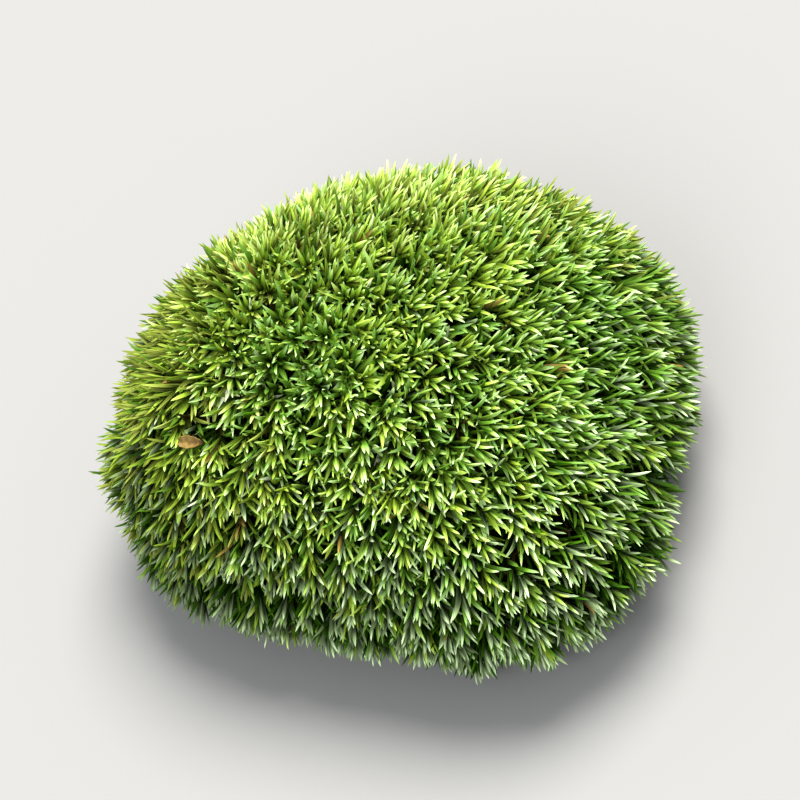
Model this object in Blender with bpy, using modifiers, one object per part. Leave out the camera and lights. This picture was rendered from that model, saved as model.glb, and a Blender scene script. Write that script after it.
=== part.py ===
"""A clump of cushion moss: one domed cushion cut off flat underneath, and a dry flake lodged in its top.

Metres, +Z up. The cushion stands on z = 0, with the origin under the middle of it. -Y is its front.
"""

import math

import bmesh
import bpy
from mathutils import Matrix, Vector
from mathutils.bvhtree import BVHTree

MM = 0.001

# The cushion's plan radius at its widest level, in millimetres, every 30 degrees from +X towards +Y.
BELT_RADII = (41.5, 38.0, 37.5, 36.5, 38.5, 40.0, 42.5, 37.5, 32.5, 43.5, 45.0, 36.0)
HEIGHT = 44.0  # flat cut to crown
BELT_HEIGHT = 13.0  # flat cut to the widest level
UNDER_DEPTH = 18.0  # widest level to where the rounded form would end, were it not cut
SHOULDER = 0.86  # under 1 makes the shoulders fuller than an ellipse
CROWN_SHIFT = Vector((-3.3, -4.1))  # the crown lies this far from the middle of the belt

# The cage that the cushion is subdivided from
CAGE_RINGS = 10
CAGE_SWELL = 1.08  # a subdivided form settles this much inside its cage
CROWN_SWELL = 1.014  # and less at the crown
SMOOTHING = 2

# The dry flake, in millimetres, and the hollow among the shoots that it lies in
FLAKE_LENGTH = 4.0
FLAKE_WIDTH = 1.9
FLAKE_THICKNESS = 0.35
FLAKE_CUP = 0.6  # its rim stands up to this much above its middle
FLAKE_SINK = 0.1  # its middle lies this far below the cushion's surface
FLAKE_PLACE = Vector((-27.3, -6.3))
FLAKE_POINTS_TO = Vector((0.744, -0.522, 0.418))
NEST_SIZE = Vector((7.2, 4.8, 2.8))
NEST_GAP = 0.3  # between the flake's underside and the bottom of the hollow
GROUND_BLOCK = 120.0

MOSS_GREEN = (0.16, 0.25, 0.05, 1.0)
DRY_ORANGE = (0.46, 0.27, 0.09, 1.0)


def clear_scene():
    for thing in list(bpy.data.objects):
        bpy.data.objects.remove(thing, do_unlink=True)


def new_collection(name):
    group = bpy.data.collections.new(name)
    bpy.context.scene.collection.children.link(group)
    return group


def new_object(name, form, group):
    mesh = bpy.data.meshes.new(name)
    form.to_mesh(mesh)
    form.free()
    thing = bpy.data.objects.new(name, mesh)
    group.objects.link(thing)
    return thing


def new_material(name, colour, roughness):
    material = bpy.data.materials.new(name)
    material.use_nodes = True
    shader = material.node_tree.nodes["Principled BSDF"]
    shader.inputs["Base Color"].default_value = colour
    shader.inputs["Roughness"].default_value = roughness
    shader.inputs["Metallic"].default_value = 0.0
    material.diffuse_color = colour
    return material


def belt_radius(column):
    return BELT_RADII[column % len(BELT_RADII)]


def cage_point(column, rise):
    """A point of the cushion's cage. rise runs from -90 degrees, under the cut, to 90 at the crown."""
    angle = 2 * math.pi * column / len(BELT_RADII)
    spread = max(math.cos(rise), 0.0)
    if rise > 0:
        spread = spread**SHOULDER
        shift = CROWN_SHIFT * (1 - spread)
        reach = (HEIGHT - BELT_HEIGHT) * CROWN_SWELL
    else:
        shift = Vector((0, 0))
        reach = UNDER_DEPTH * CAGE_SWELL
    radius = belt_radius(column) * spread * CAGE_SWELL
    x = radius * math.cos(angle) + shift.x
    y = radius * math.sin(angle) + shift.y
    z = BELT_HEIGHT + reach * math.sin(rise)
    return Vector((x, y, z)) * MM


def cushion_cage():
    form = bmesh.new()
    columns = len(BELT_RADII)
    bmesh.ops.create_uvsphere(form, u_segments=columns, v_segments=CAGE_RINGS, radius=1.0)
    for point in form.verts:
        column = round(math.atan2(point.co.y, point.co.x) / (2 * math.pi) * columns)
        rise = math.asin(max(-1.0, min(1.0, point.co.z)))
        point.co = cage_point(column, rise)
    return form


def stand_on_origin(thing):
    """Moves the mesh so that the origin is under the middle of its box."""
    evaluated = thing.evaluated_get(bpy.context.evaluated_depsgraph_get())
    places = [point.co.copy() for point in evaluated.to_mesh().vertices]
    evaluated.to_mesh_clear()
    middle_x = (min(p.x for p in places) + max(p.x for p in places)) / 2
    middle_y = (min(p.y for p in places) + max(p.y for p in places)) / 2
    thing.data.transform(Matrix.Translation((-middle_x, -middle_y, 0)))


def cut_away(thing, cutter):
    cutter.hide_render = True
    cutter.display_type = "WIRE"
    cut = thing.modifiers.new(f"cut by {cutter.name}", "BOOLEAN")
    cut.operation = "DIFFERENCE"
    cut.object = cutter


def ground_block(group):
    """What lies under the flat cut."""
    form = bmesh.new()
    bmesh.ops.create_cube(form, size=GROUND_BLOCK * MM)
    bmesh.ops.translate(form, verts=form.verts, vec=(0, 0, -GROUND_BLOCK / 2 * MM))
    return new_object("ground_below", form, group)


def make_cushion(group, cutters):
    cushion = new_object("moss_cushion", cushion_cage(), group)
    rounded = cushion.modifiers.new("rounded", "SUBSURF")
    rounded.levels = SMOOTHING
    rounded.render_levels = SMOOTHING
    stand_on_origin(cushion)
    cut_away(cushion, ground_block(cutters))
    cushion.data.shade_smooth()
    cushion.data.materials.append(new_material("living_moss", MOSS_GREEN, 0.75))
    return cushion


def surface_under(thing, place):
    """The point of the surface straight below a place in plan, and the surface's outward normal."""
    tree = BVHTree.FromObject(thing, bpy.context.evaluated_depsgraph_get())
    above = Vector((place.x, place.y, HEIGHT * 2)) * MM
    point, normal, _, _ = tree.ray_cast(above, Vector((0, 0, -1)))
    return point, normal


def lying_frame(point, normal, pointing):
    """A matrix whose Z is the normal and whose X runs along the surface, towards pointing."""
    along = (pointing - normal * pointing.dot(normal)).normalized()
    across = normal.cross(along)
    turn = Matrix((along, across, normal)).transposed().to_4x4()
    return Matrix.Translation(point) @ turn


def flake_outline(share):
    """Half the flake's width at a share of its length: round at one end, drawn out at the other."""
    return FLAKE_WIDTH / 2 * math.sin(math.pi * share**0.8) ** 0.75


def flake_sheet():
    form = bmesh.new()
    bmesh.ops.create_grid(form, x_segments=8, y_segments=4, size=1.0)
    for point in form.verts:
        share = 0.02 + 0.96 * (point.co.x + 1) / 2
        side = point.co.y
        rise = FLAKE_CUP * (side**2 * 0.6 + (2 * share - 1) ** 2 * 0.4)
        point.co.x = FLAKE_LENGTH * (share - 0.5) * MM
        point.co.y = flake_outline(share) * side * MM
        point.co.z = rise * MM
    return form


def flake_nest(cutters, place):
    """The hollow among the shoots that the flake lies in, as the solid that is cut away."""
    form = bmesh.new()
    bmesh.ops.create_uvsphere(form, u_segments=16, v_segments=8, radius=0.5)
    bmesh.ops.scale(form, verts=form.verts, vec=NEST_SIZE * MM)
    nest = new_object("flake_nest", form, cutters)
    height = NEST_SIZE.z / 2 - FLAKE_THICKNESS / 2 - NEST_GAP
    nest.matrix_world = place @ Matrix.Translation((0, 0, height * MM))
    return nest


def make_flake(group, cutters, cushion):
    point, normal = surface_under(cushion, FLAKE_PLACE)
    place = lying_frame(point - normal * FLAKE_SINK * MM, normal, FLAKE_POINTS_TO)
    cut_away(cushion, flake_nest(cutters, place))

    flake = new_object("dry_flake", flake_sheet(), group)
    flake.matrix_world = place
    thick = flake.modifiers.new("thickness", "SOLIDIFY")
    thick.thickness = FLAKE_THICKNESS * MM
    thick.offset = 0.0
    flake.data.shade_smooth()
    flake.data.materials.append(new_material("dry_bract", DRY_ORANGE, 0.6))
    return flake


def build_clump():
    clear_scene()
    pieces = new_collection("moss_clump")
    cutters = new_collection("cutters")
    cushion = make_cushion(pieces, cutters)
    make_flake(pieces, cutters, cushion)


build_clump()
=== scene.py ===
"""Looks of the moss clump: crowded leafy shoots on a mat of old stems, cut off flat underneath."""

import math

import bmesh
import bpy
import numpy as np
from mathutils import Matrix, Vector
from mathutils.geometry import delaunay_2d_cdt


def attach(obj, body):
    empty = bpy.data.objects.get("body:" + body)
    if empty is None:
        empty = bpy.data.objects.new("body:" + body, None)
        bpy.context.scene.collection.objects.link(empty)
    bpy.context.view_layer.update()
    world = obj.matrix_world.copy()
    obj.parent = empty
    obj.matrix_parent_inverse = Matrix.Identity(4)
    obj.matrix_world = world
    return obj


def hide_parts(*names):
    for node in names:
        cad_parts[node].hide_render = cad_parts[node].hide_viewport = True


MM = 0.001
SEED = 2379

# Shoots, in millimetres
TRIED_PLACES = 60000  # random points of the skin, of which the well spaced ones are kept
SHOOT_SPACING = 2.7
STEM_LEAFY = 5.6  # length of stem that bears leaves
STEM_ROOT = 2.0  # length of bare stem under it
STEM_RADIUS = 0.22
STEM_TAPER = (1.3, 1.0, 0.6)  # at the root, at the foot of the leafy part and at the end
STEM_SHADES = (0.1, 0.35, 0.6)  # their places up the brown strip of the map
TUFT = 2.9  # from the stem's end to the tips of the leaves about it
TIP_OVERSHOOT = 0.35  # how far the topmost leaves pass the cushion's surface, on average
HEIGHT_SPREAD = 0.55
HEIGHT_LIMITS = (-2, 1.3)  # in spreads
SIZE_SPREAD = 0.1
SIZE_LIMIT = 0.25
HUMMOCK_HEIGHT = 0.9  # long low swells of the cushion's surface
HUMMOCK_LENGTH = 17.0
FAN_CENTRE = (0, 0, -6.0)  # the shoots grow partly away from here, and otherwise square to the skin
FAN_SHARE = 0.4
HANG = (0.2, -0.38, -0.62)  # they lean over a little, down and to the front
MOST_LEAN = math.radians(52)  # from the cushion's own normal
WANDER = 0.1
SWEEP = 0.1  # neighbours that lean together
SWEEP_LENGTH = 26.0
LANDING = 1.5  # leaves that would pass the flat cut turn up below this height
SKIRT_HEIGHT = 30.0  # below this the shoots thin out
SKIRT_GAPS = 0.6
GAP_SPACING = 5.9  # between the missing shoots
SKIRT_FURL = 0.45  # and their leaves spread less
SHOOT_PIECES = 7

# Leaves: lengths in millimetres, angles in degrees, other measures as shares
UPPER_LEAVES = 12
LOWER_LEAVES = 9
LEAF_LENGTH = 4.9
LEAF_WIDTH = 0.9
LEAF_SPREAD = 0.1  # of the lengths and widths
LEAF_LIMIT = 0.3
LEAF_PLACES = (0.0, 0.2, 0.45, 0.7, 0.88, 1.0)  # along a leaf, and how wide it is there
LEAF_WIDTHS = (0.75, 1.0, 0.9, 0.62, 0.31, 0.0)
LEAF_FOLD = 0.42
LEAF_THICKNESS = 0.1
LEAF_ROOT = 0.6  # how far out in the stem a leaf starts
LEAN_LOW = 48.0  # from the stem, at its foot and at its end
LEAN_TOP = 11.0
LEAN_POWER = 0.9
LEAN_SPREAD = 7.0
BEND = 4.0  # along the leaf, away from the stem
BEND_MIDDLE = 20.0  # and more for leaves half-way up the stem
BEND_SPREAD = 11.0
BEND_POWER = 1.4  # more than 1 bends a leaf mostly near its tip
TURN_SPREAD = 0.16  # radians, about the stem
ROLL_SPREAD = 0.22  # radians, about the leaf's own length
SECUND = 0.28  # how far a shoot's leaves turn to one side
GOLDEN_TURN = math.radians(137.5)
SHARP_FOLD = math.radians(48)
UPPER_STATIONS = np.array([0.0, 0.26, 0.5, 0.72, 0.88])
LOWER_STATIONS = np.array([0.0, 0.3, 0.6, 0.84])

# Palette: each family of leaves has a few strips of the map, from dull to bright: random tone, painted
# light and painted shade
FAMILIES = (
    # name, colour at a leaf's base (near black: painted shade deep in the tuft), colour towards its tip,
    # how late that comes, how pale its end is (partly painted sheen)
    ("brown", (0.014, 0.012, 0.002), (0.060, 0.045, 0.010), 1.6, 0.0),
    ("straw", (0.130, 0.085, 0.018), (0.400, 0.270, 0.060), 1.6, 0.2),
    # near-black green: painted shade on leaves deep in the tufts
    ("painted_shade_green", (0.0005, 0.006, 0.0001), (0.050, 0.150, 0.004), 2.2, 0.0),
    ("deep_green", (0.004, 0.020, 0.0003), (0.180, 0.400, 0.030), 1.7, 0.5),
    ("olive", (0.014, 0.026, 0.0005), (0.470, 0.580, 0.080), 1.6, 0.65),
    ("yellow_green", (0.011, 0.036, 0.0003), (0.465, 0.675, 0.055), 1.6, 0.5),
    ("fresh_green", (0.007, 0.034, 0.0003), (0.395, 0.650, 0.075), 1.6, 1.0),
    ("grey_green", (0.003, 0.014, 0.001), (0.430, 0.600, 0.255), 2.8, 1.0),
    ("bleached", (0.180, 0.200, 0.100), (0.600, 0.660, 0.420), 1.2, 1.0),
)
MOST_LATE = 4.0  # the palette's fourth column stays below this
PALE_END = (0.590, 0.730, 0.440)  # the very end of a pale leaf: partly its own pale tip, partly painted sheen
PALE_RISE = 2.2  # a leaf pales over the last 1 / 2.2 of its length
PALE_POWER = 1.7  # and mostly on the brighter levels, as painted sheen
RIB_STRENGTH = 0.35  # how much of the tip's colour the midrib has
RIB_REACH = 0.2  # its half-width, as a share of a strip
STREAKS_ACROSS = 5.0  # cells of noise in a strip's width and in its length
STREAKS_ALONG = 2.6
STREAK_STRENGTH = 0.7
DULLEST = 0.5  # shade of the first level, and how much brighter the last one is
LEVEL_STRENGTH = 0.75
LEAF_ROUGHNESS = 0.38
ROUGHNESS_SPREAD = 0.2
MOSS_SPECULAR = 0.05
LEVELS = 4
STRIPS = len(FAMILIES) * LEVELS
STRIP_MARGIN = 0.08  # kept free at each side of a strip
LENGTH_MARGIN = 0.02  # and at its ends
FAMILY = {family[0]: number for number, family in enumerate(FAMILIES)}

# Zones of the cushion: the axis they run along, where they begin and where they are full, in millimetres
ZONES = {
    "left": (0, -6.0, -34.0),
    "edge": (0, -27.0, -35.0),
    "right": (0, 10.0, 34.0),
    "back": (1, -1.5, 16.5),
    "low": (2, 36.0, 10.0),
}

# How warm a leaf's green is: yellow-green above one value, deep green below another, fresh between
WARMTH = 0.45
WARM_ABOVE = 0.52
COOL_BELOW = 0.26
WARM_ZONES = {"left": 0.2, "right": -0.14, "back": 0.38, "low": -0.12}
WARM_PATCHES = 0.16
PATCH_LENGTH = 20.0
WARM_SHOOTS = 0.3  # between one shoot and another
WARM_LEAVES = 0.35  # between one leaf and another

# Shares of the leaves that take another family, and how much smaller they are in some zones
OLIVE_LEFT = 0.42
OLIVE_FROM = 0.3  # none before this share of the left zone
OLIVE_BACK = 0.5
GREY = 0.02
GREY_LOW = 0.85
GREY_LESS_BACK = 0.9
GREY_LESS_RIGHT = 0.4
SHADED = 0.42  # most leaves below this share of the stem are deep green or darker, as painted shade inside the tuft
SHADED_LOWER = 0.2  # and more of them low on the cushion
SHADED_DEEP = 0.85
# The share of those that go near-black instead, as painted shade: more low on the cushion, less at the
# back
SHADED_DARK = 0.05
SHADED_DARK_LOW = 0.9
SHADED_LESS_BACK = 0.7
BROWN_FOOT = 0.14  # leaves below this share of the stem
BROWN = 0.4
STRAW = 0.0015
BLEACHED = 0.003

# Brightness of a leaf within its family, from 0 to 1: random, with painted light up the stem, and the
# painted shade that the zones take from it
BRIGHTNESS = 0.64
BRIGHT_SPREAD = 0.34
BRIGHT_SPREAD_LOW = 0.7  # how much wider that is low down
BRIGHT_UP = 0.8  # painted light: leaves are brighter towards the stem's end, and painted shade darkens those below
BRIGHT_UP_FROM = 0.6
# Painted shade by zone: at the left, its edge, the right, the back-left and low down
DIM_LEFT = 0.22
DIM_EDGE = 0.75
DIM_RIGHT = 0.08
DIM_BACK_LEFT = 1.0
DIM_LOW = 0.38
DIM_LOW_RIGHT = 0.44
DIM_LOW_LEFT = 0.2

# Places on the cushion, in millimetres, read off the photograph through its camera
NOTCH = (-31.8, -3.4, 33.4)
NOTCH_RADIUS = 3.2
BROWNED_TIPS = ((18.5, -5.7, 40.4), (23.1, -16.1, 35.1), (-13.8, 13.1, 41.5), (-25.6, -18.7, 25.9))
BLEACHED_TIPS = ((-21.7, -5.8, 39.8), (-12.8, 7.5, 42.7))
MARKED_LEAVES = [5, 8]  # among the upper leaves of the shoot at such a tip

# The mat of old stems, and its cut, in millimetres
CUT_FACING = -0.98  # the normals of its faces point down more than this
CUT_LEVEL = 0.1  # and they lie lower than this
CUT_REACH = 40.0  # nothing of it lies farther out than this in x or y
MAT_DEPTH = 6.4
MAT_CUTS = 1
MAT_RELIEF = 0.6
MAT_CLEARANCE = 0.5
MAT_INSET = 0.95
MAT_GRAIN = 900.0  # cells of noise in a metre
MAT_BUMP = 0.4
MAT_ROUGHNESS = 0.75
MAT_BROWN_TO = 2.0  # it is brown up to this height, and green from twice this height on
# Near-black greens of the mat's top: the old stems' dark colour, deepened as painted shade under the
# leaves
MAT_GREENS = ((0.3, (0.001, 0.003, 0.0)), (0.55, (0.004, 0.008, 0.001)), (0.75, (0.014, 0.014, 0.003)))
MAT_BROWNS = ((0.3, (0.012, 0.007, 0.003)), (0.5, (0.045, 0.026, 0.011)), (0.7, (0.12, 0.072, 0.03)))
FELT_PLACES = 9000
FELT_SPACING = 1.3
FELT_MARGIN = 3.0
FELT_RELIEF = 1.0
STUB_PLACES = 16000
STUB_SPACING = 1.15
STUB_MARGIN = 1.4
STUB_HEIGHT = 3.2
STUB_TILT = 0.3  # as a slope
STUB_TILT_LIMIT = 0.5
STUB_RADIUS = 0.3
STUB_RADIUS_SPREAD = 0.08
STUB_RADIUS_LIMITS = (0.14, 0.5)
STUB_TAPER = 0.8
STUB_GATHER = 0.94  # their tops draw together a little
STUB_BROWN = 0.55  # the other stubs are straw
STUB_SIDES = 5
FIBRES = 620
FIBRES_TRIED = 4 * FIBRES
FIBRE_MARGIN = 4.0
FIBRE_EDGE = 1.0  # past this they turn back
FIBRE_TURN_BACK = 0.94  # of their distance from the middle
FIBRE_STEPS = 6
FIBRE_STRIDE = (0.7, 1.7)
FIBRE_HEIGHT = (0.2, 0.8)
FIBRE_HEIGHT_SPREAD = 0.12
FIBRE_CURL = 0.35  # radians a step, the same all along a fibre
FIBRE_KINK = 0.2  # and other at each step
FIBRE_RADIUS = 0.09
FIBRE_SIDES = 3
FIBRE_LOWEST = 0.02

# The dry scale, in millimetres
SCALE_MAP = "scale_length_and_width"
SCALE_LENGTH = 4.4
SCALE_WIDTH = 1.75
SCALE_CUP = 0.55
SCALE_CURL = 0.25  # one end twists
SCALE_CURL_FROM = 0.7
SCALE_THICKNESS = 0.14
SCALE_TAPER = 0.65  # less than 1 moves its widest place towards its round end
SCALE_BLUNTNESS = 0.75
SCALE_MARGIN = 0.02  # left off at each end, so that no end is a point
SCALE_RAGGED = 0.05  # its edge waves by this share of its width
SCALE_NICKS = 23.0  # radians of that wave along it
SCALE_VEINS = 7
SCALE_VEIN_HEIGHT = 0.035
SCALE_TURN = math.radians(10)
SCALE_BLOTCHES = 1500.0  # cells of noise in a metre
SCALE_WRINKLES = 4200.0
SCALE_BUMP = 0.06  # depth of the wrinkles
SCALE_ROUGHNESS = 0.35
SCALE_ROUGHNESS_SPREAD = 0.3
SCALE_SPECULAR = 0.3
SCALE_BROWN_FROM = 0.7  # of its length, towards the drawn-out end
SCALE_BROWNING = 0.32
SCALE_VEIN_SHADE = 0.05
SCALE_TONES = (
    (0.2, (0.045, 0.022, 0.006)),
    (0.33, (0.120, 0.063, 0.012)),
    (0.5, (0.195, 0.120, 0.024)),
    (0.7, (0.270, 0.190, 0.050)),
)
SCALE_CLEARING = 2.2  # no shoot stands this near its middle
SCALE_COVER = 2.3  # and leaves this near are bent under it
SCALE_COVER_EDGE = 0.7

# Camera and light
CAMERA_AIM = (0.1, 2.5, 20.0)  # near the middle of what the photograph shows, in millimetres
CAMERA_DISTANCE = 0.613  # metres
CAMERA_ELEVATION = 48.3
CAMERA_ROLL = 20.0
CAMERA_LENS = 205.0
KEY_LIGHT = (140, 68, 36.0, 7.0, (1.0, 0.98, 0.94))  # azimuth, elevation, spread, strength, colour
FILL_LIGHT = (-30, 42, 30.0, 1.7, (0.96, 0.98, 1.0))
SKY = 0.8
SKY_COLOUR = (0.93, 0.96, 1.0)
BACKDROP_COLOUR = (0.857, 0.850, 0.818)
FLOOR_COLOUR = (0.272, 0.270, 0.264)
FLOOR_REACH = 3.0  # metres

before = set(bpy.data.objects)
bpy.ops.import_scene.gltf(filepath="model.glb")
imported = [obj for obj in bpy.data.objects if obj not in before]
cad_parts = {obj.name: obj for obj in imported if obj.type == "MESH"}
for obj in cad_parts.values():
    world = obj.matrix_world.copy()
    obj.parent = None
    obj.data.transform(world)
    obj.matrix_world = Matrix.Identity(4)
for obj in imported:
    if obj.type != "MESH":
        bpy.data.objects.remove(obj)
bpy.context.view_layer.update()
rng = np.random.default_rng(SEED)


def unit(vectors):
    return vectors / np.maximum(np.linalg.norm(vectors, axis=-1, keepdims=True), 1e-12)


def smooth_noise(points, length, seed, octaves=1):
    """A smooth field from -1 to 1 over points in millimetres, a sum of waves about length long."""
    source = np.random.default_rng(seed)
    total = np.zeros(len(points))
    waves = 9
    for octave in range(octaves):
        directions = unit(source.normal(size=(waves, 3)))
        phases = source.uniform(0, 2 * math.pi, waves)
        turns = 2 * math.pi / (length / 2**octave) * source.uniform(0.7, 1.3, waves)
        field = np.sin(points @ directions.T * turns + phases).sum(1) / math.sqrt(waves / 2)
        total += field / 2**octave
    return np.clip(total / 1.8, -1, 1)


def varied(count, spread, limit):
    """Random factors about 1, none of them farther from it than limit."""
    return np.clip(rng.normal(1, spread, count), 1 - limit, 1 + limit)


def link(thing):
    bpy.context.scene.collection.objects.link(thing)
    return thing


class Cushion:
    """The CAD cushion's outer skin, without its flat cut: triangles and smooth normals, in millimetres."""

    def __init__(self, node):
        form = bmesh.new()
        form.from_mesh(node.data)
        bmesh.ops.remove_doubles(form, verts=form.verts, dist=1e-6)
        form.normal_update()
        level = [f for f in form.faces if f.normal.z < CUT_FACING]
        cut = [f for f in level if f.calc_center_median().z < CUT_LEVEL * MM]
        bmesh.ops.delete(form, geom=cut, context="FACES")
        bmesh.ops.triangulate(form, faces=form.faces)
        form.normal_update()
        form.verts.index_update()
        self.points = np.array([v.co for v in form.verts]) / MM
        self.normals = np.array([v.normal for v in form.verts])
        self.corners = np.array([[v.index for v in f.verts] for f in form.faces])
        self.rim = self.points[:, 2] < CUT_LEVEL
        form.free()

    def scatter(self, count):
        """Random points on the skin, evenly by area, with their normals."""
        a, b, c = (self.points[self.corners[:, k]] for k in range(3))
        areas = np.linalg.norm(np.cross(b - a, c - a), axis=1)
        chosen = rng.choice(len(areas), count, p=areas / areas.sum())
        u, v = rng.random((2, count))
        flip = u + v > 1
        u[flip], v[flip] = 1 - u[flip], 1 - v[flip]
        weights = np.stack([1 - u - v, u, v], 1)[:, :, None]
        corners = self.corners[chosen]
        points = (self.points[corners] * weights).sum(1)
        normals = unit((self.normals[corners] * weights).sum(1))
        return points, normals

    def cut_radius(self, places):
        """How far the flat cut reaches, in the direction of each place in plan."""
        rim = self.points[self.rim]
        angles = np.arctan2(rim[:, 1], rim[:, 0])
        order = np.argsort(angles)
        reach = np.hypot(rim[:, 0], rim[:, 1])
        towards = np.arctan2(places[:, 1], places[:, 0])
        return np.interp(towards, angles[order], reach[order], period=2 * math.pi)

    def on_cut(self, places, margin):
        """Which places in plan lie on the cut, at least margin from its edge."""
        return np.hypot(places[:, 0], places[:, 1]) < self.cut_radius(places) - margin

    def scatter_on_cut(self, count, margin):
        """Those of count random places in plan that lie on the cut, at least margin from its edge."""
        places = rng.uniform(-CUT_REACH, CUT_REACH, (count, 2))
        return places[self.on_cut(places, margin)]


def spaced(points, spacing):
    """Numbers of the points kept when each must stand off from the ones kept before it."""
    cells = {}
    kept = []
    reach = spacing**2
    keys = np.floor(points / spacing).astype(int)
    for number, (point, key) in enumerate(zip(points.tolist(), keys.tolist())):
        x, y, z = key
        near = (
            other
            for i in (x - 1, x, x + 1)
            for j in (y - 1, y, y + 1)
            for k in (z - 1, z, z + 1)
            for other in cells.get((i, j, k), ())
        )
        if all(sum((p - q) ** 2 for p, q in zip(point, other)) >= reach for other in near):
            cells.setdefault((x, y, z), []).append(point)
            kept.append(number)
    return np.array(kept)


def away_from(points, spot, radius):
    return np.linalg.norm(points - np.array(spot), axis=1) >= radius


def scale_lay():
    """The CAD flake's middle, in millimetres, and its directions: along, across and outward."""
    corners = np.array([v.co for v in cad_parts["dry_flake"].data.vertices]) / MM
    middle = corners.mean(0)
    _, _, lay = np.linalg.svd(corners - middle)
    lay[2] *= np.sign(lay[2, 2])
    lay[0] *= np.sign(lay[0, 0])
    lay[1] = np.cross(lay[2], lay[0])
    lay[0], lay[1] = (
        lay[0] * math.cos(SCALE_TURN) - lay[1] * math.sin(SCALE_TURN),
        lay[1] * math.cos(SCALE_TURN) + lay[0] * math.sin(SCALE_TURN),
    )
    return middle, lay


# ---------------------------------------------------------------- shoots


def held_up(axes, normals):
    """Axes that lean too far over are brought back towards the cushion's normal."""
    along = (axes * normals).sum(1, keepdims=True)
    across = unit(axes - normals * along)
    angle = np.minimum(np.arccos(np.clip(along, -1, 1)), MOST_LEAN)
    return normals * np.cos(angle) + across * np.sin(angle)


def growing_places(cushion):
    """Evenly spaced points of the skin where shoots end, and the skin's normals there."""
    points, normals = cushion.scatter(TRIED_PLACES)
    kept = spaced(points, SHOOT_SPACING)
    points, normals = points[kept], normals[kept]
    low = np.clip(1 - points[:, 2] / SKIRT_HEIGHT, 0, 1)
    free = away_from(points, NOTCH, NOTCH_RADIUS)
    free &= away_from(points, scale_lay()[0], SCALE_CLEARING)
    missing = np.flatnonzero(rng.random(len(points)) < SKIRT_GAPS * low)
    free[missing[spaced(points[missing], GAP_SPACING)]] = False
    return points[free], normals[free]


def plan_shoots(cushion):
    """Where each shoot's top is, and which way it grows."""
    points, normals = growing_places(cushion)
    count = len(points)
    outward = unit(points - np.array(FAN_CENTRE))
    sweep = np.stack([smooth_noise(points, SWEEP_LENGTH, SEED + k) for k in (1, 2, 3)], 1) * SWEEP
    wander = rng.normal(size=(count, 3)) * WANDER
    upright = (1 - FAN_SHARE) * normals + FAN_SHARE * outward
    axes = unit(upright + sweep + wander + np.array(HANG))
    swell = smooth_noise(points, HUMMOCK_LENGTH, SEED + 4, 2) * HUMMOCK_HEIGHT
    rise = TIP_OVERSHOOT + swell + np.clip(rng.normal(size=count), *HEIGHT_LIMITS) * HEIGHT_SPREAD
    size = varied(count, SIZE_SPREAD, SIZE_LIMIT)
    axes = held_up(axes, normals)
    top = points + axes * (rise - TUFT * size)[:, None]
    return {"points": points, "normals": normals, "axes": axes, "size": size, "top": top}


def any_side(axes):
    """A unit vector square to each axis."""
    other = np.where(np.abs(axes[:, 2:3]) < 0.9, [[0.0, 0.0, 1.0]], [[1.0, 0.0, 0.0]])
    return unit(np.cross(axes, other))


def around(axes, turn):
    """A unit vector square to each axis, turned about it."""
    side = any_side(axes)
    return side * np.cos(turn)[:, None] + np.cross(axes, side) * np.sin(turn)[:, None]


def length_share(up):
    """How long a leaf at a place up the stem is: the longest ones are a little below the middle."""
    return 0.74 + 0.34 * np.sin(math.pi * up**0.8) - 0.12 * up


def width_share(up):
    """How wide a leaf at a place up the stem is: the last ones are narrower."""
    return 1 - 0.28 * up**3


def plan_leaves(shoots):
    """Every leaf of every shoot: where it leaves the stem, how it leans, bends and how big it is."""
    count = len(shoots["points"])
    per_shoot = UPPER_LEAVES + LOWER_LEAVES
    shoot = np.repeat(np.arange(count), per_shoot)
    order = np.tile(np.arange(per_shoot), count)
    up = order / (per_shoot - 1)
    total = len(shoot)
    size = shoots["size"][shoot]

    axes = shoots["axes"][shoot]
    start = shoots["top"][shoot] - axes * (STEM_LEAFY * size * (1 - up))[:, None]
    turn = rng.uniform(0, 2 * math.pi, count)[shoot] + order * GOLDEN_TURN
    turn += rng.normal(0, TURN_SPREAD, total)
    pull = around(axes, rng.uniform(0, 2 * math.pi, count)[shoot])
    radial = unit(around(axes, turn) + SECUND * pull)

    lean = LEAN_LOW - (LEAN_LOW - LEAN_TOP) * up**LEAN_POWER + rng.normal(0, LEAN_SPREAD, total)
    lean *= 1 - SKIRT_FURL * np.clip(1 - shoots["points"][shoot][:, 2] / SKIRT_HEIGHT, 0, 1)
    bend = BEND_MIDDLE * np.sin(math.pi * up) + rng.normal(BEND, BEND_SPREAD, total)
    length = LEAF_LENGTH * size * length_share(up) * varied(total, LEAF_SPREAD, LEAF_LIMIT)
    width = LEAF_WIDTH * size * width_share(up) * varied(total, LEAF_SPREAD, LEAF_LIMIT)
    return {
        "shoot": shoot,
        "up": up,
        "start": start + radial * STEM_RADIUS * LEAF_ROOT,
        "axis": axes,
        "radial": radial,
        "lean": np.radians(lean),
        "bend": np.radians(bend),
        "length": length,
        "width": width,
        "roll": rng.normal(0, ROLL_SPREAD, total),
        "upper": order >= LOWER_LEAVES,
    }


def landed(points):
    """Bends what would reach below the flat cut, so that it lies on the surface instead."""
    low = points[:, 2] < LANDING
    points[low, 2] = LANDING * np.exp(points[low, 2] / LANDING - 1)
    return points


def tucked(points):
    """Bends what would grow through the dry scale under it."""
    middle, (_, _, outward) = scale_lay()
    away = points - middle
    height = away @ outward
    reach = np.linalg.norm(away - height[:, None] * outward, axis=1)
    share = np.clip((SCALE_COVER - reach) / SCALE_COVER_EDGE, 0, 1) * (height < SCALE_COVER)
    down = share * np.maximum(height + SCALE_CUP, 0)
    return points - down[:, None] * outward


def leaf_shape(along):
    """Half-width at a place along the leaf, as a share of its full half-width: lance-shaped."""
    return np.interp(along, LEAF_PLACES, LEAF_WIDTHS)


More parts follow.
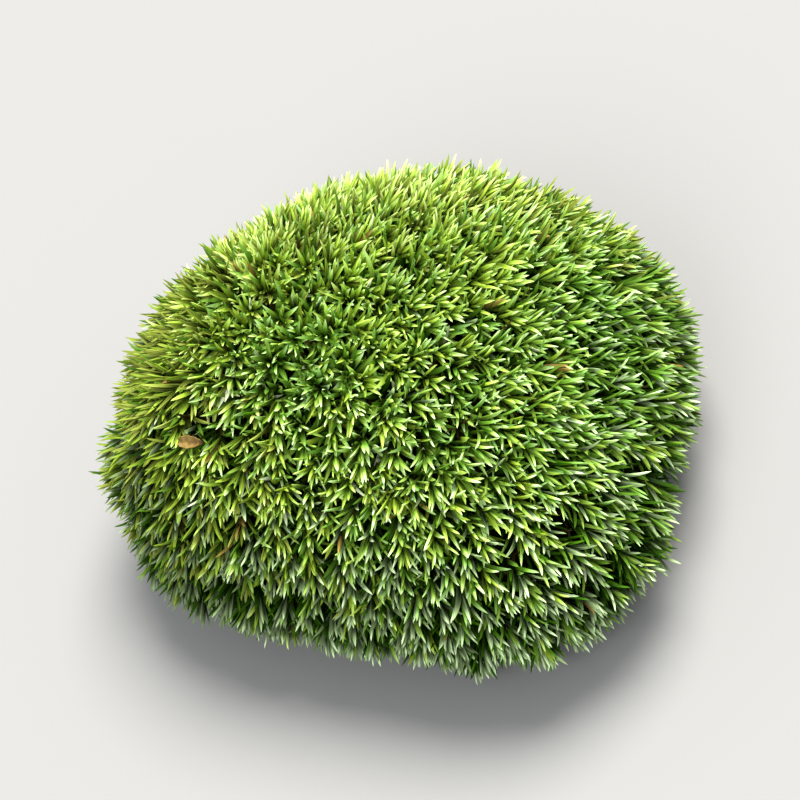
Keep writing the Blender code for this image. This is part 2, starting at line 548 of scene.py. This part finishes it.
def blade_points(leaves, stations, channelled):
    """The leaves' points. Each station has a ring round the blade, and the last point is the tip."""
    steps = np.diff(np.concatenate([stations, [1.0]]))
    place = leaves["start"].copy()
    tangent = np.cross(leaves["axis"], leaves["radial"])
    rings = []
    uvs = []
    for along, step in zip(stations, steps):
        angle = (leaves["lean"] + leaves["bend"] * along**BEND_POWER)[:, None]
        inner = leaves["axis"] * np.sin(angle) - leaves["radial"] * np.cos(angle)
        swing = (leaves["roll"] * (0.4 + along))[:, None]
        side = tangent * np.cos(swing) + inner * np.sin(swing)
        face = inner * np.cos(swing) - tangent * np.sin(swing)
        half = (leaves["width"] / 2 * leaf_shape(along))[:, None]
        depth = half * LEAF_FOLD * (1 + along)
        left, right = place - side * half, place + side * half
        keel = place - face * (depth + LEAF_THICKNESS)
        if channelled:
            rings += [left, place - face * depth, right, keel]
            uvs += [(0.0, along), (0.5, along), (1.0, along), (0.5, along)]
        else:
            rings += [left, right, keel]
            uvs += [(0.0, along), (1.0, along), (0.5, along)]
        middle = (leaves["lean"] + leaves["bend"] * (along + step / 2) ** BEND_POWER)[:, None]
        heading = leaves["axis"] * np.cos(middle) + leaves["radial"] * np.sin(middle)
        place = place + heading * (leaves["length"] * step)[:, None]
    rings.append(place)
    uvs.append((0.5, 1.0))
    points = np.stack(rings, 1).reshape(-1, 3)
    return tucked(landed(points)), np.array(uvs)


def tube_faces(rings, sides):
    """Triangles of the walls between a tube's rings."""
    faces = []
    for ring in range(rings - 1):
        low, high = ring * sides, (ring + 1) * sides
        for k in range(sides):
            after = (k + 1) % sides
            faces += [(low + k, high + k, high + after), (low + k, high + after, low + after)]
    return faces


def fan(first, sides, point):
    """Triangles from a ring to one point past its far end."""
    return [(first + k, point, first + (k + 1) % sides) for k in range(sides)]


def end_cap(sides):
    """Triangles across a tube's first ring."""
    return [(0, k, k + 1) for k in range(1, sides - 1)]


def blade_faces(stations, sides):
    """Triangles of one closed leaf: walls between the rings, a tip and an end cap."""
    last = (stations - 1) * sides
    return np.array(tube_faces(stations, sides) + fan(last, sides, last + sides) + end_cap(sides))


def tube_points(centres, sides_of, radii, sides):
    """Rings of points round each centre. sides_of gives two directions whose product runs up the tube."""
    rings = []
    for centre, (side, across), radius in zip(centres, sides_of, radii):
        for k in range(sides):
            angle = 2 * math.pi * k / sides
            spoke = side * math.cos(angle) - across * math.sin(angle)
            rings.append(centre + spoke * np.reshape(radius, (-1, 1)))
    return rings


def zones_at(places):
    """How deep each place lies in each zone: 0 where the zone begins, 1 where it is full."""
    return {
        name: np.clip((places[:, axis] - begins) / (full - begins), 0, 1)
        for name, (axis, begins, full) in ZONES.items()
    }


def leaf_warmth(shoots, leaves, zones):
    """How yellow each leaf is: by zone, in patches, and from shoot to shoot and leaf to leaf."""
    at = shoots["points"][leaves["shoot"]]
    patch = smooth_noise(at, PATCH_LENGTH, SEED + 11, 2)
    own = rng.random(len(at))
    shared = rng.random(len(shoots["points"]))[leaves["shoot"]]
    warm = sum((weight * zones[name] for name, weight in WARM_ZONES.items()), WARMTH)
    return warm + (WARM_PATCHES * patch + WARM_SHOOTS * (shared - 0.5) + WARM_LEAVES * (own - 0.5))


def leaf_families(shoots, leaves, zones):
    """The family of each leaf: warm, fresh or deep green, of which some then take another one; leaves low
    on the stem take deep or near-black green as painted shade.
    """
    warm = leaf_warmth(shoots, leaves, zones)
    pick = np.full(len(warm), FAMILY["fresh_green"])
    pick[warm > WARM_ABOVE] = FAMILY["yellow_green"]
    pick[warm < COOL_BELOW] = FAMILY["deep_green"]
    left, right, back, low = (zones[name] for name in ("left", "right", "back", "low"))
    # Painted shade: leaves low on the stem, more of them low on the cushion, go deep or near-black green.
    shaded = leaves["up"] < SHADED + SHADED_LOWER * low
    dark = (SHADED_DARK + SHADED_DARK_LOW * low) * (1 - SHADED_LESS_BACK * back)
    grey = (GREY + GREY_LOW * low) * (1 - GREY_LESS_BACK * back) * (1 - GREY_LESS_RIGHT * right)
    shares = (
        ("olive", OLIVE_LEFT * left * (left > OLIVE_FROM) + OLIVE_BACK * back),
        ("grey_green", grey),
        ("deep_green", shaded * SHADED_DEEP),
        ("painted_shade_green", shaded * dark),
        ("brown", (leaves["up"] < BROWN_FOOT) * BROWN),
        ("straw", STRAW),
        ("bleached", BLEACHED),
    )
    for family, share in shares:
        pick[rng.random(len(pick)) < share] = FAMILY[family]
    return pick


def leaf_levels(leaves, zones):
    """Each leaf's level of brightness: which of its family's strips it takes. It is random, with painted
    light up the stem and painted shade by zone.
    """
    left, edge, right, back, low = (zones[name] for name in ("left", "edge", "right", "back", "low"))
    spread = BRIGHT_SPREAD * (1 + BRIGHT_SPREAD_LOW * low)
    bright = BRIGHTNESS + spread * rng.normal(size=len(low)) + BRIGHT_UP * (leaves["up"] - BRIGHT_UP_FROM)
    # Painted shade: darker at the left, its edge, the right, the back-left and low down.
    bright -= DIM_LEFT * left + DIM_EDGE * edge + DIM_RIGHT * right + DIM_BACK_LEFT * left**2 * back
    bright -= low * (DIM_LOW + DIM_LOW_RIGHT * right + DIM_LOW_LEFT * left)
    return (np.clip(bright, 0, 0.999) * LEVELS).astype(int)


def mark_tips(pick, shoots, leaves, spots, family):
    """Two leaves of the shoot nearest to each spot take the family."""
    for spot in spots:
        nearest = np.linalg.norm(shoots["points"] - np.array(spot), axis=1).argmin()
        mine = np.flatnonzero((leaves["shoot"] == nearest) & leaves["upper"])
        pick[mine[MARKED_LEAVES]] = FAMILY[family]


def leaf_strips(shoots, leaves):
    """Which strip of the map each leaf takes."""
    zones = zones_at(shoots["points"][leaves["shoot"]])
    pick = leaf_families(shoots, leaves, zones)
    mark_tips(pick, shoots, leaves, BROWNED_TIPS, "straw")
    mark_tips(pick, shoots, leaves, BLEACHED_TIPS, "bleached")
    return pick * LEVELS + leaf_levels(leaves, zones)


def strip_uv(strips, uvs):
    """Map places for each item's points: its strip of the map across, its length up."""
    across = (strips[:, None] + STRIP_MARGIN + (1 - 2 * STRIP_MARGIN) * uvs[None, :, 0]) / STRIPS
    along = np.broadcast_to(LENGTH_MARGIN + (1 - 2 * LENGTH_MARGIN) * uvs[None, :, 1], across.shape)
    return np.stack([across, along], -1).reshape(-1, 2)


def many(points, template, uvs, strips):
    """Arrays for many like items: all points, all triangles and the place of each point in the map."""
    count = len(strips)
    faces = (template[None] + (np.arange(count) * len(uvs))[:, None, None]).reshape(-1, 3)
    return points, faces, strip_uv(strips, uvs)


def joined_mesh(name, arrays, look):
    """One mesh object from arrays of items, in millimetres, with one map and sharp folds."""
    offsets = np.cumsum([0] + [len(points) for points, _, _ in arrays[:-1]])
    points = np.concatenate([points for points, _, _ in arrays])
    faces = np.concatenate([faces + offset for (_, faces, _), offset in zip(arrays, offsets)])
    uv = np.concatenate([places for _, _, places in arrays])
    mesh = bpy.data.meshes.new(name)
    mesh.vertices.add(len(points))
    mesh.vertices.foreach_set("co", (points * MM).astype(np.float32).ravel())
    mesh.loops.add(faces.size)
    mesh.loops.foreach_set("vertex_index", faces.astype(np.int32).ravel())
    mesh.polygons.add(len(faces))
    mesh.polygons.foreach_set("loop_start", np.arange(0, faces.size, 3, dtype=np.int32))
    layer = mesh.uv_layers.new(name="OFBake")
    layer.data.foreach_set("uv", uv[faces.ravel()].astype(np.float32).ravel())
    mesh.update(calc_edges=True)
    mesh.validate()
    mesh.shade_smooth()
    mesh.set_sharp_from_angle(angle=SHARP_FOLD)
    mesh.materials.append(look)
    return link(bpy.data.objects.new(name, mesh))


def leaf_arrays(leaves, strips, upper):
    """The upper leaves, which are channelled, or the plainer lower ones."""
    stations = UPPER_STATIONS if upper else LOWER_STATIONS
    chosen = leaves["upper"] == upper
    some = {key: value[chosen] for key, value in leaves.items()}
    points, uvs = blade_points(some, stations, upper)
    return many(points, blade_faces(len(stations), 4 if upper else 3), uvs, strips[chosen])


def stem_arrays(shoots):
    """A bent, tapering four-sided stem for each shoot, closed at both ends."""
    sides = 4
    foot = shoots["top"] - shoots["axes"] * (STEM_LEAFY * shoots["size"])[:, None]
    root = foot - shoots["normals"] * STEM_ROOT
    frames = []
    for axes in (shoots["normals"], unit(shoots["normals"] + shoots["axes"]), shoots["axes"]):
        side = any_side(axes)
        frames.append((side, np.cross(axes, side)))
    radii = [STEM_RADIUS * share for share in STEM_TAPER]
    rings = tube_points([root, foot, shoots["top"]], frames, radii, sides)
    rings.append(shoots["top"] + shoots["axes"] * STEM_RADIUS)
    points = landed(np.stack(rings, 1).reshape(-1, 3))
    uvs = [(0.5, shade) for shade in STEM_SHADES for _ in range(sides)]
    uvs = np.array(uvs + [(0.5, STEM_SHADES[-1])])
    brown = np.full(len(shoots["points"]), FAMILY["brown"] * LEVELS + 1)
    return many(points, blade_faces(3, sides), uvs, brown)


def build_shoots(cushion, look):
    """The leafy shoots, in a few pieces like the slices of a cake."""
    shoots = plan_shoots(cushion)
    leaves = plan_leaves(shoots)
    strips = leaf_strips(shoots, leaves)
    ranks = np.argsort(np.argsort(np.arctan2(shoots["points"][:, 1], shoots["points"][:, 0])))
    slices = ranks * SHOOT_PIECES // len(ranks)
    made = []
    for number in range(SHOOT_PIECES):
        mine = slices[leaves["shoot"]] == number
        some = {key: value[mine] for key, value in leaves.items()}
        here = {key: value[slices == number] for key, value in shoots.items()}
        arrays = [leaf_arrays(some, strips[mine], upper) for upper in (True, False)]
        arrays.append(stem_arrays(here))
        made.append(joined_mesh(f"moss_shoots_{number + 1}", arrays, look))
    return made


# ---------------------------------------------------------------- the mat of old stems and its cut


def mat_top(cushion):
    """The mat's upper skin: the cushion's skin drawn in, and roughened."""
    points = cushion.points - cushion.normals * MAT_DEPTH
    points[:, 2] = np.maximum(points[:, 2], MAT_CLEARANCE)
    points[cushion.rim] = cushion.points[cushion.rim] * [MAT_INSET, MAT_INSET, 0] + [0, 0, MAT_CLEARANCE]
    form = bmesh.new()
    made = [form.verts.new(Vector(p) * MM) for p in points]
    for corners in cushion.corners:
        form.faces.new([made[k] for k in corners])
    bmesh.ops.subdivide_edges(form, edges=form.edges, cuts=MAT_CUTS, use_grid_fill=True)
    bmesh.ops.triangulate(form, faces=form.faces)
    form.normal_update()
    for point in form.verts:
        if not point.is_boundary:
            point.co += point.normal * rng.uniform(-MAT_RELIEF, MAT_RELIEF) * MM
            point.co.z = max(point.co.z, MAT_CLEARANCE * MM)
    return form


def mat_underside(cushion, form):
    """Closes the mat with a rough felt, a little above the plane of the cut."""
    edges = [e for e in form.edges if e.is_boundary]
    rim = list({v for e in edges for v in e.verts})
    number = {v: k for k, v in enumerate(rim)}
    places = cushion.scatter_on_cut(FELT_PLACES, FELT_MARGIN)
    places = places[spaced(np.pad(places, ((0, 0), (0, 1))), FELT_SPACING)]
    heights = MAT_CLEARANCE + FELT_RELIEF * rng.random(len(places))
    inner = [form.verts.new(Vector((x, y, z)) * MM) for (x, y), z in zip(places, heights)]
    flat = [v.co.xy / MM for v in rim + inner]
    bounds = [[number[v] for v in e.verts] for e in edges]
    _, _, faces, sources, _, _ = delaunay_2d_cdt(flat, bounds, [], 1, 1e-5)
    known = rim + inner
    for face in faces:
        form.faces.new([known[sources[k][0]] for k in face])


def build_mat(cushion, look):
    """What lies under the leaves."""
    form = mat_top(cushion)
    mat_underside(cushion, form)
    bmesh.ops.recalc_face_normals(form, faces=form.faces)
    if form.calc_volume(signed=True) < 0:
        bmesh.ops.reverse_faces(form, faces=form.faces)
    mesh = bpy.data.meshes.new("stem_mat")
    form.to_mesh(mesh)
    form.free()
    mesh.shade_smooth()
    mesh.materials.append(look)
    return link(bpy.data.objects.new("stem_mat", mesh))


def stub_arrays(cushion):
    """Cut ends of old stems. They all end in the plane of the cut."""
    places = cushion.scatter_on_cut(STUB_PLACES, STUB_MARGIN)
    centres = np.pad(places, ((0, 0), (0, 1)))
    centres = centres[spaced(centres, STUB_SPACING)]
    count = len(centres)
    tilt = np.clip(rng.normal(0, STUB_TILT, (count, 3)), -STUB_TILT_LIMIT, STUB_TILT_LIMIT)
    tops = centres * STUB_GATHER + (tilt * [1, 1, 0] + [0, 0, 1]) * STUB_HEIGHT
    radius = np.clip(rng.normal(STUB_RADIUS, STUB_RADIUS_SPREAD, count), *STUB_RADIUS_LIMITS)
    level_frame = (np.array([[1.0, 0.0, 0.0]]), np.array([[0.0, 1.0, 0.0]]))
    rings = tube_points([centres, tops], [level_frame] * 2, [radius, radius * STUB_TAPER], STUB_SIDES)
    rings += [centres, tops]
    points = np.stack(rings, 1).reshape(-1, 3)
    low_middle, high_middle = 2 * STUB_SIDES, 2 * STUB_SIDES + 1
    underneath = [face[::-1] for face in fan(0, STUB_SIDES, low_middle)]
    faces = np.array(tube_faces(2, STUB_SIDES) + fan(STUB_SIDES, STUB_SIDES, high_middle) + underneath)
    uvs = np.array([(0.5, 0.4)] * STUB_SIDES + [(0.5, 0.1)] * STUB_SIDES + [(0.5, 0.95), (0.5, 0.1)])
    families = rng.choice([FAMILY["brown"], FAMILY["straw"]], count, p=[STUB_BROWN, 1 - STUB_BROWN])
    return many(points, faces, uvs, families * LEVELS + rng.integers(0, LEVELS, count))


def fibre_arrays(cushion):
    """Fine root hairs felted across the cut."""
    places = cushion.scatter_on_cut(FIBRES_TRIED, FIBRE_MARGIN)[:FIBRES]
    count = len(places)
    heading = rng.uniform(0, 2 * math.pi, count)
    curl = rng.normal(0, FIBRE_CURL, count)
    stride = rng.uniform(*FIBRE_STRIDE, count)
    level = rng.uniform(*FIBRE_HEIGHT, count)
    centres, frames = [], []
    for step in range(FIBRE_STEPS):
        heights = np.maximum(level + rng.normal(0, FIBRE_HEIGHT_SPREAD, count), FIBRE_RADIUS)
        centres.append(np.column_stack([places, heights]))
        across = np.column_stack([-np.sin(heading), np.cos(heading), np.zeros(count)])
        frames.append((across, np.array([[0.0, 0.0, 1.0]])))
        places = places + np.column_stack([np.cos(heading), np.sin(heading)]) * stride[:, None]
        places[~cushion.on_cut(places, FIBRE_EDGE)] *= FIBRE_TURN_BACK
        heading = heading + curl + rng.normal(0, FIBRE_KINK, count)
    radii = [FIBRE_RADIUS * share for share in np.linspace(1.0, 0.5, FIBRE_STEPS)]
    rings = tube_points(centres, frames, radii, FIBRE_SIDES)
    rings.append(centres[-1] + [0, 0, FIBRE_RADIUS])
    points = np.stack(rings, 1).reshape(-1, 3)
    points[:, 2] = np.maximum(points[:, 2], FIBRE_LOWEST)
    uvs = [(0.5, 0.9 - 0.1 * step) for step in range(FIBRE_STEPS) for _ in range(FIBRE_SIDES)]
    shades = FAMILY["brown"] * LEVELS + rng.integers(0, LEVELS, count)
    return many(points, blade_faces(FIBRE_STEPS, FIBRE_SIDES), np.array(uvs + [(0.5, 0.3)]), shades)


def build_cut(cushion, look):
    """The cut stems and root hairs of the underside."""
    return joined_mesh("cut_stems", [stub_arrays(cushion), fibre_arrays(cushion)], look)


# ---------------------------------------------------------------- the dry scale


def build_scale(look):
    """A thin cupped bud scale with raised veins, lying as the CAD flake does."""
    middle, lay = scale_lay()
    form = bmesh.new()
    form.loops.layers.uv.new(SCALE_MAP)
    bmesh.ops.create_grid(form, x_segments=30, y_segments=16, size=1.0, calc_uvs=True)
    for point in form.verts:
        share = SCALE_MARGIN + (1 - 2 * SCALE_MARGIN) * (point.co.x + 1) / 2
        side = point.co.y
        ragged = 1 + SCALE_RAGGED * math.sin(SCALE_NICKS * share) * abs(side) ** 4
        half = SCALE_WIDTH / 2 * math.sin(math.pi * share**SCALE_TAPER) ** SCALE_BLUNTNESS * ragged
        cup = SCALE_CUP * (0.6 * side**2 + 0.4 * (2 * share - 1) ** 2 - 0.35)
        veins = SCALE_VEIN_HEIGHT * math.cos(SCALE_VEINS * math.pi * side) * math.sin(math.pi * share)
        curl = SCALE_CURL * max(share - SCALE_CURL_FROM, 0) * side
        x, y, z = SCALE_LENGTH * (share - 0.5), half * side, cup + veins + curl
        point.co = Vector(middle + lay[0] * x + lay[1] * y + lay[2] * z) * MM
    mesh = bpy.data.meshes.new("bud_scale")
    form.to_mesh(mesh)
    form.free()
    mesh.shade_smooth()
    mesh.materials.append(look)
    thing = link(bpy.data.objects.new("bud_scale", mesh))
    thick = thing.modifiers.new("thickness", "SOLIDIFY")
    thick.thickness = SCALE_THICKNESS * MM
    thick.offset = 0.0
    return thing


# ---------------------------------------------------------------- materials


def new_look(name):
    look = bpy.data.materials.new(name)
    look.use_nodes = True
    look.node_tree.nodes.clear()
    shader = look.node_tree.nodes.new("ShaderNodeBsdfPrincipled")
    output = look.node_tree.nodes.new("ShaderNodeOutputMaterial")
    look.node_tree.links.new(shader.outputs["BSDF"], output.inputs["Surface"])
    return look, Nodes(look.node_tree), shader


class Nodes:
    """Short ways to add nodes to a material."""

    def __init__(self, tree):
        self.tree = tree

    def add(self, kind, **settings):
        node = self.tree.nodes.new(kind)
        for key, value in settings.items():
            setattr(node, key, value)
        return node

    def put(self, value, socket):
        """Gives a socket a plain value, a colour or a link."""
        if isinstance(value, tuple):
            socket.default_value = (*value, 1.0)
        elif isinstance(value, (int, float)):
            socket.default_value = value
        else:
            self.tree.links.new(value, socket)

    def math(self, operation, *values, clamp=False):
        node = self.add("ShaderNodeMath", operation=operation, use_clamp=clamp)
        for socket, value in zip(node.inputs, values):
            self.put(value, socket)
        return node.outputs[0]

    def mix(self, factor, a, b, blend="MIX"):
        node = self.add("ShaderNodeMix", data_type="RGBA", blend_type=blend)
        for number, value in ((0, factor), (6, a), (7, b)):
            self.put(value, node.inputs[number])
        return node.outputs[2]

    def noise(self, place, scale, detail):
        node = self.add("ShaderNodeTexNoise")
        self.put(scale, node.inputs["Scale"])
        self.put(detail, node.inputs["Detail"])
        self.put(place, node.inputs["Vector"])
        return node.outputs["Fac"]

    def bump(self, height, depth):
        """A normal from a height of 0 to 1 that stands for depth in millimetres."""
        node = self.add("ShaderNodeBump")
        self.put(depth * MM, node.inputs["Distance"])
        self.put(height, node.inputs["Height"])
        return node.outputs["Normal"]

    def stretched(self, x, y, z=0.0):
        node = self.add("ShaderNodeCombineXYZ")
        for socket, value in zip(node.inputs, (x, y, z)):
            self.put(value, socket)
        return node.outputs[0]

    def ramp(self, factor, stops, interpolation="LINEAR"):
        node = self.add("ShaderNodeValToRGB")
        ramp = node.color_ramp
        ramp.interpolation = interpolation
        while len(ramp.elements) < len(stops):
            ramp.elements.new(0.5)
        for element, (place, colour) in zip(ramp.elements, stops):
            element.position = place
            element.color = (*colour, 1.0)
        self.put(factor, node.inputs[0])
        return node.outputs[0]


def by_family(n, family, colours):
    """A colour for each family. family is a strip's place in the map; the ramp changes between strips."""
    begins = [max(number - 0.5 / LEVELS, 0) / len(FAMILIES) for number in range(len(FAMILIES))]
    return n.ramp(family, list(zip(begins, colours)), "CONSTANT")


def blade_colour(n, strip, family, level, along):
    """From the colour of a leaf's base, near black as painted shade deep in the tuft, to that of its tip,
    with a lighter rib and a pale end that is partly painted sheen.
    """
    base = by_family(n, family, [entry[1] for entry in FAMILIES])
    tip = by_family(n, family, [entry[2] for entry in FAMILIES])
    lateness = by_family(n, family, [(entry[3] / MOST_LATE,) * 3 for entry in FAMILIES])
    reached = n.math("SMOOTH_MIN", n.math("MULTIPLY", along, 1.2), 1.0, 0.15)
    grown = n.math("POWER", reached, n.math("MULTIPLY", lateness, MOST_LATE))
    blade = n.mix(grown, base, tip)
    off_rib = n.math("ABSOLUTE", n.math("SUBTRACT", n.math("FRACT", strip), 0.5))
    rib = n.math("MULTIPLY_ADD", off_rib, -RIB_STRENGTH / RIB_REACH, RIB_STRENGTH, clamp=True)
    ribbed = n.mix(rib, blade, tip)
    # The pale end is partly the leaf's own pale tip, partly painted sheen on the brighter levels.
    near_end = n.math("MULTIPLY_ADD", along, PALE_RISE, 1 - PALE_RISE, clamp=True)
    paleness = by_family(n, family, [(entry[4],) * 3 for entry in FAMILIES])
    pale = n.math("MULTIPLY", near_end, n.math("MULTIPLY", n.math("POWER", level, PALE_POWER), paleness))
    return n.mix(pale, ribbed, PALE_END)


def leaf_look():
    """Each leaf has the colours of its strip of the map, lighter or darker by level, which holds painted
    light and shade, and in streaks.
    """
    look, n, shader = new_look("moss_leaves")
    split = n.add("ShaderNodeSeparateXYZ")
    n.put(n.add("ShaderNodeUVMap", uv_map="OFBake").outputs[0], split.inputs[0])
    across, along = split.outputs[0], split.outputs[1]
    strip = n.math("MULTIPLY", across, STRIPS)
    number = n.math("FLOOR", strip)
    family = n.math("DIVIDE", number, STRIPS)
    level = n.math("DIVIDE", n.math("MODULO", number, LEVELS), LEVELS - 1)

    wide = n.math("MULTIPLY", across, STRIPS * STREAKS_ACROSS)
    long = n.math("MULTIPLY", along, STREAKS_ALONG)
    streak = n.noise(n.stretched(wide, long), 1.0, 3.0)
    colour = blade_colour(n, strip, family, level, along)
    shade = n.math("MULTIPLY_ADD", level, LEVEL_STRENGTH, DULLEST)
    streaks = n.math("MULTIPLY_ADD", streak, STREAK_STRENGTH, -STREAK_STRENGTH / 2)
    shade = n.math("ADD", shade, streaks)
    colour = n.mix(1.0, colour, n.stretched(shade, shade, shade), "MULTIPLY")
    n.put(colour, shader.inputs["Base Color"])
    n.put(n.math("MULTIPLY_ADD", streak, ROUGHNESS_SPREAD, LEAF_ROUGHNESS), shader.inputs["Roughness"])
    n.put(MOSS_SPECULAR, shader.inputs["Specular IOR Level"])
    return look


def mat_look():
    """Dark decayed stems: near-black green above, partly painted shade under the leaves, brown in the felt
    underneath.
    """
    look, n, shader = new_look("old_stems")
    place = n.add("ShaderNodeTexCoord").outputs["Object"]
    fibres = n.noise(place, MAT_GRAIN, 5.0)
    above = n.ramp(fibres, MAT_GREENS)
    below = n.ramp(fibres, MAT_BROWNS)
    split = n.add("ShaderNodeSeparateXYZ")
    n.put(place, split.inputs[0])
    height = n.math("MULTIPLY_ADD", split.outputs[2], 1 / (MAT_BROWN_TO * MM), -1.0, clamp=True)
    n.put(n.mix(height, below, above), shader.inputs["Base Color"])
    n.put(n.math("MULTIPLY_ADD", fibres, ROUGHNESS_SPREAD, MAT_ROUGHNESS), shader.inputs["Roughness"])
    n.put(n.bump(fibres, MAT_BUMP), shader.inputs["Normal"])
    n.put(MOSS_SPECULAR, shader.inputs["Specular IOR Level"])
    return look


def scale_look():
    """Papery and tan, with darker veins and blotches."""
    look, n, shader = new_look("dry_scale")
    place = n.add("ShaderNodeTexCoord").outputs["Object"]
    split = n.add("ShaderNodeSeparateXYZ")
    n.put(n.add("ShaderNodeUVMap", uv_map=SCALE_MAP).outputs[0], split.inputs[0])
    blotches = n.noise(place, SCALE_BLOTCHES, 4.0)
    browned = n.math("MULTIPLY_ADD", split.outputs[0], 3.0, -3.0 * SCALE_BROWN_FROM, clamp=True)
    wave = n.math("COSINE", n.math("MULTIPLY", split.outputs[1], 2 * math.pi * SCALE_VEINS))
    veined = n.math("MULTIPLY_ADD", wave, -SCALE_VEIN_SHADE, blotches)
    tone = n.math("MULTIPLY_ADD", browned, -SCALE_BROWNING, veined)
    n.put(n.ramp(tone, SCALE_TONES), shader.inputs["Base Color"])
    roughness = n.math("MULTIPLY_ADD", blotches, SCALE_ROUGHNESS_SPREAD, SCALE_ROUGHNESS)
    n.put(roughness, shader.inputs["Roughness"])
    n.put(n.bump(n.noise(place, SCALE_WRINKLES, 3.0), SCALE_BUMP), shader.inputs["Normal"])
    n.put(SCALE_SPECULAR, shader.inputs["Specular IOR Level"])
    return look


# ---------------------------------------------------------------- stage


def build_stage():
    """A wide pale floor."""
    mesh = bpy.data.meshes.new("floor")
    form = bmesh.new()
    bmesh.ops.create_grid(form, x_segments=1, y_segments=1, size=FLOOR_REACH)
    form.to_mesh(mesh)
    form.free()
    look, n, shader = new_look("floor")
    n.put(FLOOR_COLOUR, shader.inputs["Base Color"])
    n.put(1.0, shader.inputs["Roughness"])
    n.put(0.0, shader.inputs["Specular IOR Level"])
    mesh.materials.append(look)
    link(bpy.data.objects.new("floor", mesh))


def direction(azimuth, elevation):
    """Unit vector from the clump. Azimuth 0 is its front, -Y, and 90 its right, +X."""
    a, e = math.radians(azimuth), math.radians(elevation)
    return Vector((math.sin(a) * math.cos(e), -math.cos(a) * math.cos(e), math.sin(e)))


def add_light(name, azimuth, elevation, spread, strength, colour):
    """A far soft light that covers the floor evenly. spread is its width in degrees."""
    lamp = bpy.data.lights.new(name, "SUN")
    lamp.angle = math.radians(spread)
    lamp.energy = strength
    lamp.color = colour
    thing = link(bpy.data.objects.new(name, lamp))
    thing.rotation_euler = direction(azimuth, elevation).to_track_quat("Z", "Y").to_euler()


def build_lights():
    """A pale sky, which the camera sees as an even backdrop, and two soft lights."""
    world = bpy.data.worlds.new("studio")
    bpy.context.scene.world = world
    world.use_nodes = True
    n = Nodes(world.node_tree)
    glow = world.node_tree.nodes["Background"]
    n.put(SKY_COLOUR, glow.inputs["Color"])
    n.put(SKY, glow.inputs["Strength"])
    backdrop = n.add("ShaderNodeBackground")
    n.put(BACKDROP_COLOUR, backdrop.inputs["Color"])
    choose = n.add("ShaderNodeMixShader")
    n.put(n.add("ShaderNodeLightPath").outputs["Is Camera Ray"], choose.inputs[0])
    n.put(glow.outputs[0], choose.inputs[1])
    n.put(backdrop.outputs[0], choose.inputs[2])
    n.put(choose.outputs[0], world.node_tree.nodes["World Output"].inputs["Surface"])
    add_light("key", *KEY_LIGHT)
    add_light("fill", *FILL_LIGHT)


def build_camera():
    """The photograph's angle, distance and tilt."""
    camera = link(bpy.data.objects.new("camera", bpy.data.cameras.new("camera")))
    camera.data.sensor_width = 36
    camera.data.lens = CAMERA_LENS
    camera.data.clip_start = 0.01
    middle = Vector(CAMERA_AIM) * MM
    back = direction(0, CAMERA_ELEVATION)
    camera.location = middle + back * CAMERA_DISTANCE
    turn = back.to_track_quat("Z", "Y").to_matrix()
    camera.rotation_euler = (turn @ Matrix.Rotation(math.radians(-CAMERA_ROLL), 3, "Z")).to_euler()
    bpy.context.scene.camera = camera


def stand_for(thing, node):
    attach(thing, "root")
    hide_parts(node)


def main():
    cushion = Cushion(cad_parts["moss_cushion"])
    leaves = leaf_look()
    moss = build_shoots(cushion, leaves)
    moss.append(build_mat(cushion, mat_look()))
    moss.append(build_cut(cushion, leaves))
    for thing in moss:
        stand_for(thing, "moss_cushion")
    stand_for(build_scale(scale_look()), "dry_flake")
    build_stage()
    build_lights()
    build_camera()
    bpy.context.scene.view_settings.view_transform = "Standard"


main()
